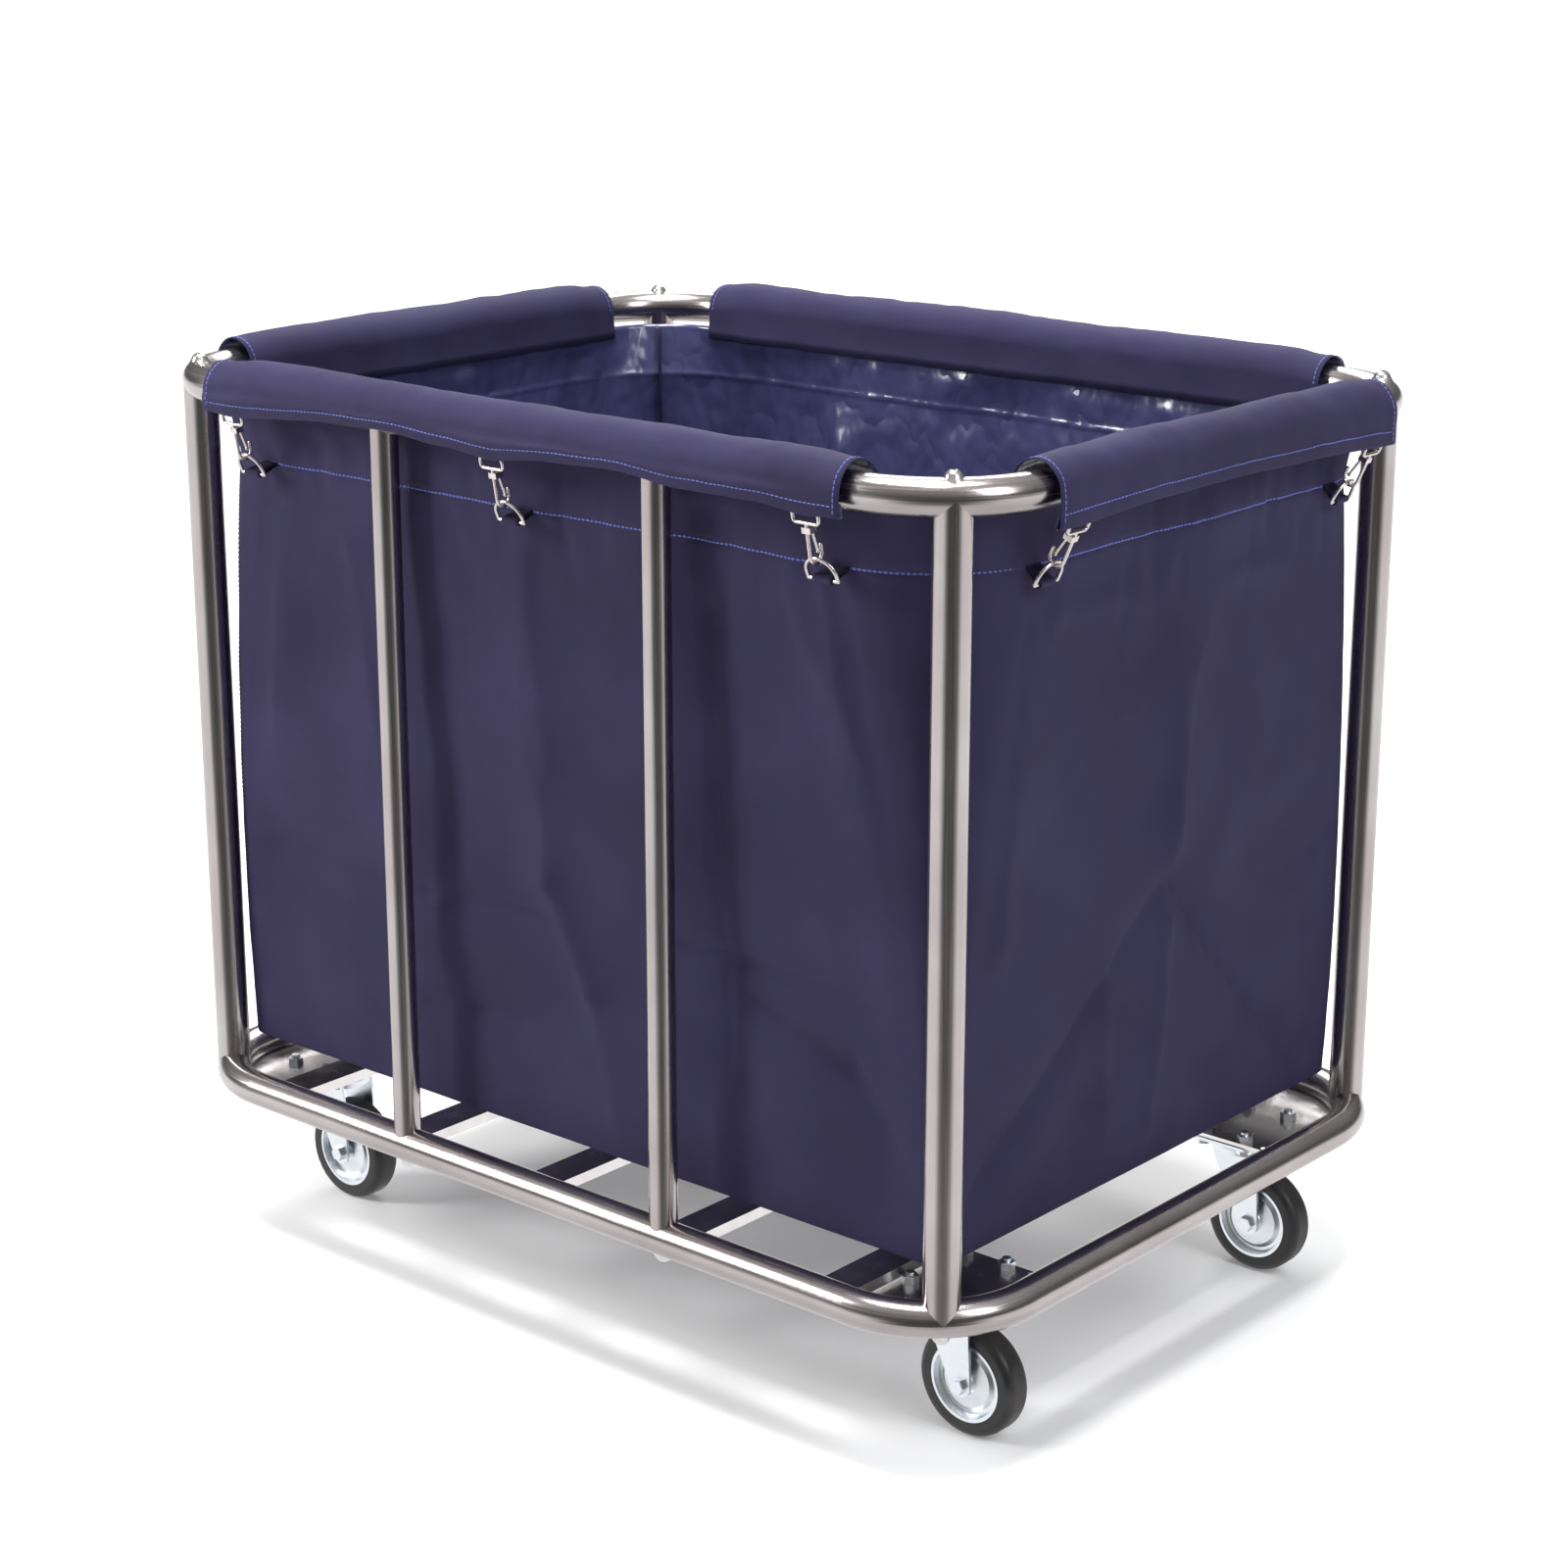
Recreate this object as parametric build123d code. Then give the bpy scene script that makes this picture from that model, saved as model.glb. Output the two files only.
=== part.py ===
"""Laundry cart: a knock-down tube frame on four swivel casters with a hanging fabric bag.

Millimetres. X runs along the cart, Y across it, Z up. The origin is on the floor under the
middle of the cart. Each sub-part is written to parts/ as its own STEP file.
"""

import os
from math import atan2, cos, degrees, radians, sin, sqrt

from build123d import *

# Frame: centreline sizes of the two rails.
RAIL_L = 943.0
RAIL_W = 684.0
RAIL_BEND_R = 100.0
RAIL_D = 32.0
POST_D = 32.0
SIDE_POST_D = 25.0
SIDE_POST_X = 161.0
WALL = 1.5
LOW_RAIL_Z = 148.0
TOP_RAIL_Z = LOW_RAIL_Z + 681.0

# Screws that clamp the posts between the rails.
SCREW_D = 8.0
SCREW_HOLE_D = 8.4
SCREW_LENGTH = 54.0
HEAD_D = 15.0
HEAD_H = 5.5
COLLAR_D = 21.0
COLLAR_H = 5.0
SOCKET_AF = 5.0
PLUG_L = 28.0

# Base: flat crossbars and the plates that carry the casters.
BAR_W = 36.0
BAR_H = 10.0
BAR_PITCH = 171.0
BAR_COUNT = 5
PLATE_T = 4.0
PLATE_TOP = LOW_RAIL_Z - 8.0
PLATE_X = 350.0
PLATE_Y = 176.0

# Casters: 100 mm swivel casters with a four-bolt plate.
KING_X = 390.0
KING_Y = 222.0
TRAIL = 18.0
WHEEL_D = 100.0
WHEEL_W = 28.0
TYRE_INNER_R = 36.0
HUB_R = 11.0
DISC_R = 28.0
RIM_R = 33.0
DISH = 7.0
TOP_PLATE_X = 67.0
TOP_PLATE_Y = 95.0
TOP_PLATE_T = 3.0
BOLT_DX = 22.5
BOLT_DY = 37.5
BOLT_D = 8.0
NUT_AF = 13.0
NUT_H = 6.5
CASTER_TOP = PLATE_TOP - PLATE_T
RACE_BOTTOM = CASTER_TOP - TOP_PLATE_T - 6.0
CROWN_TOP = RACE_BOTTOM - 0.8
CROWN_T = 8.0
CROWN_R = 30.0
KING_PIN_D = 10.0
PIN_HEAD_R = 9.0
PIN_HEAD_T = 4.0
PIN_HEAD_GAP = 0.4
LEG_T = 3.0
LEG_SPREAD = 24.0
EYE_R = 11.0
LEG_INNER = 17.5
AXLE_D = 8.0
RUNNING = 0.05

# Bag: how far its cloth stands inside the rail centreline at three heights.
CLOTH = 2.0
BAG_FLOOR_Z = LOW_RAIL_Z + BAR_H / 2
BAG_EDGE_Z = 183.0
SEAM_Z = 762.0
BAG_TOP_Z = 808.0
INSET_EDGE = 43.0
INSET_SEAM = 22.0
INSET_TOP = 22.5
INSET_FLOOR = INSET_EDGE + 150.0
BAG_CORNER_R = 25.0
SEAM_CORNER_R = 110.0
MITRE_GAP = 0.05

# Flaps: strips that fold outward over the top rail.
FLAP_R = 24.0
FLAP_LONG = 748.0
FLAP_SHORT = 496.0
FLAP_FOOT_N = -30.0
FLAP_FOOT_Z = 770.0
HEM_N = 22.0
HEM_Z_LONG = 813.0
HEM_Z_SHORT = 803.0
HEM_OUTER_R = 3.4
HEM_INNER_R = 2.2

# D-rings on their cloth tabs, and snap hooks. The slopes are above level.
RING_WIRE = 3.5
RING_W = 30.0
RING_DEPTH = 20.0
RING_SLOPE = 64.0
TAB_W = 24.0
TAB_T = 2.5
HOOK_WIRE = 3.2
HOOK_LENGTH = 45.0
HOOK_SLOPE_LONG = 80.0
HOOK_SLOPE_SHORT = 66.0
LOOP_W = 26.0
LOOP_H = 10.0
BEND_R = 7.0
TIP_RISE = 6.0
HINGE_DOWN = 16.0
HINGE_IN = 5.0
HINGE_PIN_D = 2.4
GATE_WIRE = 2.6
GATE_BALL_R = 1.8
BARREL_D = 5.0
BARREL_HALF = 2.5
EAR_X = 3.6
EAR_T = 1.4
EAR_H = 5.0
GATE_END_DOWN = 36.5
GATE_END_IN = 10.0
HOOKS_LONG = (-338.0, 6.0, 338.0)
HOOKS_SHORT = (-218.0, 218.0)

# Sides of the cart: turn about Z, distance of the rail from the middle, flap length, hooks,
# height of the hem and slope of the hooks.
LONG = (FLAP_LONG, HOOKS_LONG, HEM_Z_LONG, HOOK_SLOPE_LONG)
SHORT = (FLAP_SHORT, HOOKS_SHORT, HEM_Z_SHORT, HOOK_SLOPE_SHORT)
SIDES = {
    "front": (180.0, RAIL_W / 2, *LONG),
    "right": (-90.0, RAIL_L / 2, *SHORT),
    "back": (0.0, RAIL_W / 2, *LONG),
    "left": (90.0, RAIL_L / 2, *SHORT),
}
CORNERS = {1: (-1, -1), 2: (1, -1), 3: (1, 1), 4: (-1, 1)}


def save(name, shape):
    shape.label = name
    export_step(shape, f"parts/{name}.step")


def group(solids):
    return Compound(children=list(solids))


def cylinder_between(start, end, diameter):
    """A round bar from one point to another."""
    start, end = Vector(*start), Vector(*end)
    plane = Plane(origin=start, z_dir=end - start)
    return extrude(plane * Circle(diameter / 2), (end - start).length)


def hexagon_prism(across_flats, height):
    """A hexagon with two flats facing along the cart."""
    return extrude(Rot(0, 0, 30) * RegularPolygon(across_flats / sqrt(3), 6), height)


# ---------------------------------------------------------------- frame


def rail_loop(z, section):
    """A closed loop along the rail's centreline: four straights and four quarter bends."""
    straight_x = RAIL_L - 2 * RAIL_BEND_R
    straight_y = RAIL_W - 2 * RAIL_BEND_R
    upright = Rot(90, 0, 0) * section
    bend = revolve(Pos(RAIL_BEND_R, 0, 0) * upright, Axis.Z, 90)
    pieces = []
    for turn, length, distance in (
        (0, straight_y, RAIL_L / 2),
        (90, straight_x, RAIL_W / 2),
        (180, straight_y, RAIL_L / 2),
        (270, straight_x, RAIL_W / 2),
    ):
        side = Pos(distance, -length / 2, 0) * extrude(upright, -length)
        corner = Pos(distance - RAIL_BEND_R, length / 2, 0) * bend
        pieces += [Rot(0, 0, turn) * side, Rot(0, 0, turn) * corner]
    loop = pieces[0]
    for piece in pieces[1:]:
        loop = loop + piece
    return Pos(0, 0, z) * loop


def rail_near(x, y, z):
    """The stretch of rail at a post, as a solid bar: a bend at a corner, or else a straight."""
    if abs(x) > SIDE_POST_X:
        bend_x = RAIL_L / 2 - RAIL_BEND_R
        bend_y = RAIL_W / 2 - RAIL_BEND_R
        middle = Pos(bend_x if x > 0 else -bend_x, bend_y if y > 0 else -bend_y, z)
        section = Pos(RAIL_BEND_R, 0, 0) * Rot(90, 0, 0) * Circle(RAIL_D / 2)
        half_ring = revolve(section, Axis.Z, 180)
        facing = degrees(atan2(y, x))
        return middle * Rot(0, 0, facing - 90) * half_ring
    return Pos(0, y, z) * Rot(0, 90, 0) * Cylinder(RAIL_D / 2, RAIL_L)


def rail_sides(z):
    """The four straight stretches of a rail, as solid bars."""
    along = Rot(0, 90, 0) * Cylinder(RAIL_D / 2, RAIL_L)
    across = Rot(90, 0, 0) * Cylinder(RAIL_D / 2, RAIL_W)
    bars = [Pos(0, side * RAIL_W / 2, z) * along for side in (-1, 1)]
    return bars + [Pos(side * RAIL_L / 2, 0, z) * across for side in (-1, 1)]


def corner_post_places():
    """The middle of each corner bend, in corner order."""
    back_off = RAIL_BEND_R * (1 - cos(radians(45)))
    return [
        (sx * (RAIL_L / 2 - back_off), sy * (RAIL_W / 2 - back_off))
        for sx, sy in CORNERS.values()
    ]


def side_post_places():
    return [(sx * SIDE_POST_X, sy * RAIL_W / 2) for sx, sy in CORNERS.values()]


def post_places():
    corner = [(place, POST_D) for place in corner_post_places()]
    side = [(place, SIDE_POST_D) for place in side_post_places()]
    return corner + side


def rail(z):
    """A bent tube with a screw hole through it over or under every post."""
    tube = rail_loop(z, Circle(RAIL_D / 2) - Circle(RAIL_D / 2 - WALL))
    for (x, y), _ in post_places():
        tube -= Pos(x, y, z) * Cylinder(SCREW_HOLE_D / 2, RAIL_D + 4)
    return tube


def post(x, y, diameter):
    """A tube whose two ends are coped to sit on the rails."""
    length = TOP_RAIL_Z - LOW_RAIL_Z
    middle = Pos(x, y, LOW_RAIL_Z + length / 2)
    tube = middle * (Cylinder(diameter / 2, length) - Cylinder(diameter / 2 - WALL, length))
    for z in (LOW_RAIL_Z, TOP_RAIL_Z):
        tube -= rail_near(x, y, z)
    return largest(tube)


def largest(shape):
    return max(shape.solids(), key=lambda solid: solid.volume)


def post_plug(x, y, diameter, rail_z, inward):
    """A threaded plug fixed in the end of a post, for its screw."""
    reach = RAIL_D / 2 + PLUG_L
    body = Cylinder(diameter / 2 - WALL, reach) - Cylinder(SCREW_D / 2, reach + 1)
    body = Pos(x, y, rail_z + inward * reach / 2) * body - rail_near(x, y, rail_z)
    return max(body.solids(), key=lambda solid: inward * solid.center().Z)


def rail_screw(x, y, rail_z, outward):
    """A button-head screw on a flared collar that is shaped to the rail."""
    collar = Pos(0, 0, RAIL_D / 2 - 1.5) * Cone(COLLAR_D / 2, HEAD_D / 2, COLLAR_H)
    shank = Pos(0, 0, RAIL_D / 2 + 2 - SCREW_LENGTH / 2) * Cylinder(SCREW_D / 2, SCREW_LENGTH)
    dome_r = (HEAD_D**2 / 4 + HEAD_H**2) / (2 * HEAD_H)
    dome = Sphere(dome_r) & Pos(0, 0, dome_r) * Box(HEAD_D, HEAD_D, 2 * HEAD_H)
    seat = RAIL_D / 2 - 1.5 + COLLAR_H / 2
    dome = Pos(0, 0, seat + HEAD_H - dome_r) * dome
    socket = Pos(0, 0, seat + 2) * hexagon_prism(SOCKET_AF, HEAD_H)
    turn = Rot(180, 0, 0) if outward < 0 else Rot(0, 0, 0)
    head = Pos(x, y, rail_z) * turn * (collar + dome - socket) - rail_near(x, y, rail_z)
    return head + Pos(x, y, rail_z) * turn * shank


def crossbar(x):
    """A flat rectangular tube across the base, coped to the rail at both ends."""
    outer = Box(BAR_W, RAIL_W, BAR_H)
    inner = Box(BAR_W - 2 * WALL, RAIL_W, BAR_H - 2 * WALL)
    bar = Pos(x, 0, LOW_RAIL_Z) * (outer - inner)
    for y in (-1, 1):
        bar -= rail_near(0, y * RAIL_W / 2, LOW_RAIL_Z)
    return largest(bar)


def corner_plate(sx, sy):
    """The plate in a corner of the base, welded to the rail, with the caster's holes."""
    size_x = RAIL_L / 2 - PLATE_X
    size_y = RAIL_W / 2 - PLATE_Y
    blank = Box(size_x, size_y, PLATE_T)
    blank = Pos(PLATE_X + size_x / 2, PLATE_Y + size_y / 2, 0) * blank
    inside = extrude(RectangleRounded(RAIL_L, RAIL_W, RAIL_BEND_R), 2 * PLATE_T, both=True)
    blank = blank & inside
    for x, y in bolt_places():
        blank -= Pos(x, y, 0) * Cylinder(BOLT_D / 2, 2 * PLATE_T)
    blank = Pos(0, 0, PLATE_TOP - PLATE_T / 2) * mirrored(blank, sx, sy)
    blank -= rail_near(sx * RAIL_L, sy * RAIL_L, LOW_RAIL_Z)
    for bar in rail_sides(LOW_RAIL_Z):
        blank -= bar
    return min(blank.solids(), key=lambda solid: solid.center().length)


def mirrored(shape, sx, sy):
    if sx < 0:
        shape = shape.mirror(Plane.YZ)
    if sy < 0:
        shape = shape.mirror(Plane.XZ)
    return shape


def build_frame():
    save("rail_bottom", rail(LOW_RAIL_Z))
    save("rail_top", rail(TOP_RAIL_Z))
    for number, (x, y) in enumerate(corner_post_places(), 1):
        save(f"post_corner_{number}", post(x, y, POST_D))
    for number, (x, y) in enumerate(side_post_places(), 1):
        save(f"post_side_{number}", post(x, y, SIDE_POST_D))
    plugs = []
    screws = []
    for (x, y), diameter in post_places():
        plugs.append(post_plug(x, y, diameter, LOW_RAIL_Z, 1))
        plugs.append(post_plug(x, y, diameter, TOP_RAIL_Z, -1))
        screws.append(rail_screw(x, y, LOW_RAIL_Z, -1))
        screws.append(rail_screw(x, y, TOP_RAIL_Z, 1))
    save("post_plugs", group(plugs))
    save("rail_screws", group(screws))
    for number in range(BAR_COUNT):
        x = (number - (BAR_COUNT - 1) / 2) * BAR_PITCH
        save(f"crossbar_{number + 1}", crossbar(x))
    save("corner_plates", group(corner_plate(sx, sy) for sx, sy in CORNERS.values()))


# ---------------------------------------------------------------- casters


def bolt_places():
    """The four bolts of the caster in the +X +Y corner."""
    return [
        (KING_X + i * BOLT_DX, KING_Y + j * BOLT_DY)
        for i in (-1, 1)
        for j in (-1, 1)
    ]


def caster_bolts():
    """Hex bolts from below, one through each hole of the four plates."""
    length = TOP_PLATE_T + PLATE_T + NUT_H + 3
    bolt = Pos(0, 0, length / 2) * Cylinder(BOLT_D / 2, length)
    bolt += Pos(0, 0, -5) * hexagon_prism(NUT_AF, 5)
    base = CASTER_TOP - TOP_PLATE_T
    return group(
        Pos(sx * x, sy * y, base) * bolt for sx, sy in CORNERS.values() for x, y in bolt_places()
    )


def caster_nuts():
    nut = hexagon_prism(NUT_AF, NUT_H) - Cylinder(BOLT_D / 2, 4 * NUT_H)
    return group(
        Pos(sx * x, sy * y, PLATE_TOP) * nut for sx, sy in CORNERS.values() for x, y in bolt_places()
    )


def caster_top_plate(x, y):
    """The four-hole plate with the pressed upper race under it."""
    plate = extrude(RectangleRounded(TOP_PLATE_X, TOP_PLATE_Y, 8), TOP_PLATE_T)
    plate = Pos(0, 0, CASTER_TOP - TOP_PLATE_T) * plate
    race_h = CASTER_TOP - TOP_PLATE_T - RACE_BOTTOM
    race = Pos(0, 0, RACE_BOTTOM + race_h / 2) * Cone(27, 22, race_h)
    shape = plate + race - Pos(0, 0, CASTER_TOP) * Cylinder(KING_PIN_D / 2, 40)
    for i in (-1, 1):
        for j in (-1, 1):
            shape -= Pos(i * BOLT_DX, j * BOLT_DY, CASTER_TOP) * Cylinder(BOLT_D / 2, 20)
    return Pos(x, y, 0) * shape


def king_pin(x, y):
    """The riveted pin that the fork turns on, with its head under the crown."""
    crown_bottom = CROWN_TOP - CROWN_T
    top = CASTER_TOP - 0.2
    bottom = crown_bottom - PIN_HEAD_GAP - PIN_HEAD_T - 0.1
    pin = Pos(0, 0, (top + bottom) / 2) * Cylinder(KING_PIN_D / 2, top - bottom)
    head = Pos(0, 0, crown_bottom - PIN_HEAD_GAP - PIN_HEAD_T / 2) * Cylinder(PIN_HEAD_R, PIN_HEAD_T)
    return Pos(x, y, 0) * (pin + head)


def fork(x, y):
    """The pressed fork: a dished crown and two tapering legs down to the axle."""
    crown = Pos(0, 0, CROWN_TOP - CROWN_T / 2) * Cylinder(CROWN_R, CROWN_T)
    crown = fillet(crown.edges().sort_by(Axis.Z)[-1], 3)
    crown -= Pos(0, 0, CROWN_TOP) * Cylinder(KING_PIN_D / 2 + RUNNING, 40)
    top = CROWN_TOP - 2
    axle_z = WHEEL_D / 2
    legs = []
    for side in (-1, 1):
        plane = Plane(origin=(0, side * (LEG_INNER + LEG_T / 2), 0), x_dir=(1, 0, 0), z_dir=(0, -1, 0))
        outline = Polygon(
            (1 - LEG_SPREAD, top),
            (LEG_SPREAD, top),
            (LEG_SPREAD + 2, CROWN_TOP - 16),
            (TRAIL + EYE_R, axle_z),
            (TRAIL - EYE_R, axle_z),
            (2 - LEG_SPREAD, CROWN_TOP - 14),
            align=None,
        )
        leg = extrude(plane * outline, LEG_T / 2, both=True)
        leg += extrude(plane * Pos(TRAIL, axle_z) * Circle(EYE_R), LEG_T / 2, both=True)
        leg -= extrude(plane * Pos(TRAIL, axle_z) * Circle(AXLE_D / 2), LEG_T, both=True)
        legs.append(leg)
    return Pos(x, y, 0) * (crown + legs[0] + legs[1])


def axle(x, y):
    """The hex bolt and nut that hold the wheel in the fork."""
    reach = LEG_INNER + LEG_T
    plane = Plane(origin=(TRAIL, -reach, WHEEL_D / 2), x_dir=(1, 0, 0), z_dir=(0, -1, 0))
    head = extrude(plane * RegularPolygon(NUT_AF / sqrt(3), 6), 5)
    head = fillet(head.faces().sort_by(Axis.Y)[0].edges(), 0.8)
    shank = cylinder_between((TRAIL, -reach, WHEEL_D / 2), (TRAIL, reach + 8, WHEEL_D / 2), AXLE_D)
    plane = Plane(origin=(TRAIL, reach, WHEEL_D / 2), x_dir=(1, 0, 0), z_dir=(0, 1, 0))
    nut = extrude(plane * RegularPolygon(NUT_AF / sqrt(3), 6), 6)
    return Pos(x, y, 0) * (head + shank + nut)


def turned(profile):
    """A round shape about the wheel's axle, from points (radius, distance along the axle)."""
    face = make_face(Polyline(*[(radius, 0, along) for radius, along in profile], close=True))
    shape = revolve(face, Axis.Z)
    return Rot(90, 0, 0) * shape


def wheel_core(x, y):
    """The pressed steel centre: hub sleeve, dished disc and rim.

    Its section runs out from the bore: (radius, how far it stands beyond the tyre's side).
    """
    hub = AXLE_D / 2 + RUNNING
    half = WHEEL_W / 2
    section = [
        (hub, 2), (HUB_R - 2, 2), (HUB_R, -1), (DISC_R - 4, -4), (DISC_R, -DISH),
        (RIM_R - 2, -DISH), (RIM_R, -0.5), (TYRE_INNER_R, -0.5),
    ]
    near = [(radius, -half - out) for radius, out in section]
    far = [(radius, half + out) for radius, out in reversed(section)]
    return Pos(x + TRAIL, y, WHEEL_D / 2) * turned(near + far)


def tyre(x, y):
    """A rubber ring with a rounded tread."""
    half = WHEEL_W / 2
    ring = Cylinder(WHEEL_D / 2, WHEEL_W) - Cylinder(TYRE_INNER_R, WHEEL_W)
    edges = ring.edges().filter_by(GeomType.CIRCLE).sort_by(lambda edge: edge.radius)[-2:]
    ring = fillet(edges, half - 6)
    return Pos(x + TRAIL, y, WHEEL_D / 2) * Rot(90, 0, 0) * ring


def build_casters():
    places = [(sx * KING_X, sy * KING_Y) for sx, sy in CORNERS.values()]
    save("caster_bolts", caster_bolts())
    save("caster_nuts", caster_nuts())
    save("caster_top_plates", group(caster_top_plate(x, y) for x, y in places))
    save("caster_king_pins", group(king_pin(x, y) for x, y in places))
    for number, (x, y) in enumerate(places, 1):
        save(f"caster_{number}_fork", fork(x, y))
        save(f"caster_{number}_axle", axle(x, y))
        save(f"caster_{number}_wheel_core", wheel_core(x, y))
        save(f"caster_{number}_tyre", tyre(x, y))


# ---------------------------------------------------------------- bag


def side_frame(side):
    """The place of a side's rail: X along it, Y outward, Z up from the floor."""
    turn, distance = SIDES[side][:2]
    return Rot(0, 0, turn) * Pos(0, distance, 0)


def bag_outline(inset, z, radius):
    """The bag's plan at one height, as far inside the rail centreline as inset."""
    return Pos(0, 0, z) * RectangleRounded(RAIL_L - 2 * inset, RAIL_W - 2 * inset, radius)


def bag_block(grow):
    """The bag's walls as a solid block, with its outside moved inward by grow."""
    levels = [
        (INSET_EDGE, BAG_EDGE_Z, BAG_CORNER_R),
        (INSET_SEAM, SEAM_Z, SEAM_CORNER_R),
        (INSET_TOP, BAG_TOP_Z, RAIL_BEND_R - INSET_TOP),
    ]
    outlines = [bag_outline(inset + grow, z, radius - grow) for inset, z, radius in levels]
    return loft(outlines[0:2], ruled=True) + loft(outlines[1:3], ruled=True)


def side_wedge(side):
    """The space that belongs to one side of the bag, split from its neighbours at 45 degrees."""
    turn, distance = SIDES[side][:2]
    ridge = (RAIL_L - RAIL_W) / 2
    long_side = distance < RAIL_L / 2
    start = MITRE_GAP + (0 if long_side else ridge)
    half = ridge if long_side else 0.01
    outline = [
        (-half, start),
        (-half - RAIL_L, start + RAIL_L),
        (half + RAIL_L, start + RAIL_L),
        (half, start),
    ]
    wedge = extrude(make_face(Polyline(*outline, close=True)), 2 * TOP_RAIL_Z)
    return Rot(0, 0, turn) * wedge


def bag_wall(side):
    """One side of the bag, from its lower edge to the rail, without the cloth tabs."""
    shell = bag_block(0) - bag_block(CLOTH)
    return largest(shell & side_wedge(side))


def bag_floor():
    """The floor: a shallow tray from the walls' lower edge down to the crossbars."""

    def hollow(lift):
        top = bag_outline(INSET_EDGE, BAG_EDGE_Z + lift, BAG_CORNER_R)
        low = bag_outline(INSET_FLOOR, BAG_FLOOR_Z + lift, BAG_CORNER_R)
        return loft([low, top], ruled=True)

    return hollow(0) - hollow(CLOTH)


def strip(start, end, thickness):
    """A straight band in the plane between two points."""
    run = Vector(end[0] - start[0], end[1] - start[1], 0)
    across = Vector(-run.Y, run.X, 0) * (thickness / 2 / run.length)
    points = [
        (start[0] + across.X, start[1] + across.Y),
        (end[0] + across.X, end[1] + across.Y),
        (end[0] - across.X, end[1] - across.Y),
        (start[0] - across.X, start[1] - across.Y),
    ]
    return make_face(Polyline(*points, close=True))


def flap_profile(hem_z):
    """The section of a flap: up inside the rail, over it, and down to a rolled hem."""
    zt = TOP_RAIL_Z
    half = CLOTH / 2
    arch = Circle(FLAP_R + half) - Circle(FLAP_R - half)
    arch = Pos(0, zt) * (arch & Pos(0, FLAP_R) * Rectangle(4 * FLAP_R, 2 * FLAP_R))
    overlap = CLOTH / 5
    foot = strip((FLAP_FOOT_N, FLAP_FOOT_Z), (-FLAP_R, zt + overlap), CLOTH)
    skirt = strip((FLAP_R, zt + overlap), (HEM_N + HEM_OUTER_R - half, hem_z), CLOTH)
    hem = Pos(HEM_N, hem_z) * Circle(HEM_OUTER_R)
    tunnel = Pos(HEM_N, hem_z) * Circle(HEM_INNER_R)
    return arch + foot + skirt + hem - tunnel


def across_side(length, profile):
    """A section drawn outward and up from a side's rail, drawn out along the side."""
    plane = Plane(origin=(0, 0, 0), x_dir=(0, 1, 0), z_dir=(1, 0, 0))
    return extrude(plane * profile, length / 2, both=True)


def flap(side):
    length, hooks, hem_z, _ = SIDES[side][2:]
    shape = side_frame(side) * across_side(length, flap_profile(hem_z))
    for t in hooks:
        shape -= side_frame(side) * hook_place(side, t) * hook_loop()
    return largest(shape)


# ---------------------------------------------------------------- rings and hooks


def sloped_frame(t, n, z, slope):
    """A place in a side's frame: X along the rail, Y outward and up at the slope, Z toward the bag."""
    angle = radians(slope)
    plane = Plane(origin=(t, n, z), x_dir=(1, 0, 0), z_dir=(0, -sin(angle), cos(angle)))
    return plane.location


def hook_place(side, t):
    """A hook hangs from the middle of its hem."""
    hem_z, slope = SIDES[side][4:]
    return sloped_frame(t, HEM_N, hem_z, slope)


def ring_bar(side):
    """How far outward and how high a ring's straight bar is: its arch hangs in the hook's bend."""
    hem_z, slope = SIDES[side][4:]
    hook, ring = radians(slope), radians(RING_SLOPE)
    down = HOOK_LENGTH - (HOOK_WIRE + RING_WIRE) / 2 - RUNNING
    n = HEM_N - down * cos(hook) - BEND_R * sin(hook) - RING_DEPTH * cos(ring)
    z = hem_z - down * sin(hook) + BEND_R * cos(hook) - RING_DEPTH * sin(ring)
    return n, z


def ring_place(side, t):
    return sloped_frame(t, *ring_bar(side), RING_SLOPE)


def wire(edges, diameter):
    """A round wire along a joined list of edges."""
    path = Wire(edges)
    start = Plane(origin=path.position_at(0), z_dir=path.tangent_at(0))
    return sweep(start * Circle(diameter / 2), path=path)


def d_ring(side, t):
    """A D-ring: a straight bar held by its tab and an arch that hangs in the hook."""
    half = RING_W / 2
    rise = RING_DEPTH - half
    bar = Line((-half, 0), (half, 0))
    right = Line((half, 0), (half, rise))
    arch = ThreePointArc((half, rise), (0, RING_DEPTH), (-half, rise))
    left = Line((-half, rise), (-half, 0))
    arm = wire([right, arch, left], RING_WIRE)
    straight = wire([bar], RING_WIRE)
    ends = [Pos(x, 0, 0) * Sphere(RING_WIRE / 2) for x in (-half, half)]
    ring = arm + straight + ends[0] + ends[1]
    return side_frame(side) * ring_place(side, t) * ring


def ring_tab(side, t):
    """The cloth tab that is sewn into the seam and folded round a ring's bar."""
    n, z = ring_bar(side)
    bore = RING_WIRE / 2 + RUNNING
    sleeve = Circle(bore + CLOTH / 2)
    tab = strip((-INSET_SEAM - CLOTH / 2, SEAM_Z), (n, z), TAB_T) + Pos(n, z) * sleeve
    tab -= Pos(n, z) * Circle(bore)
    solid = side_frame(side) * Pos(t, 0, 0) * across_side(TAB_W, tab)
    return largest(solid - bag_block(0))


def hook_loop():
    """The wide loop at a hook's top, whose upper bar runs in the hem."""
    outline = Pos(0, -LOOP_H / 2, 0) * RectangleRounded(LOOP_W, LOOP_H, 3.5)
    path = outline.face().outer_wire()
    start = Plane(origin=path.position_at(0), z_dir=path.tangent_at(0))
    return sweep(start * Circle(HOOK_WIRE / 2), path=path)


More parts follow.
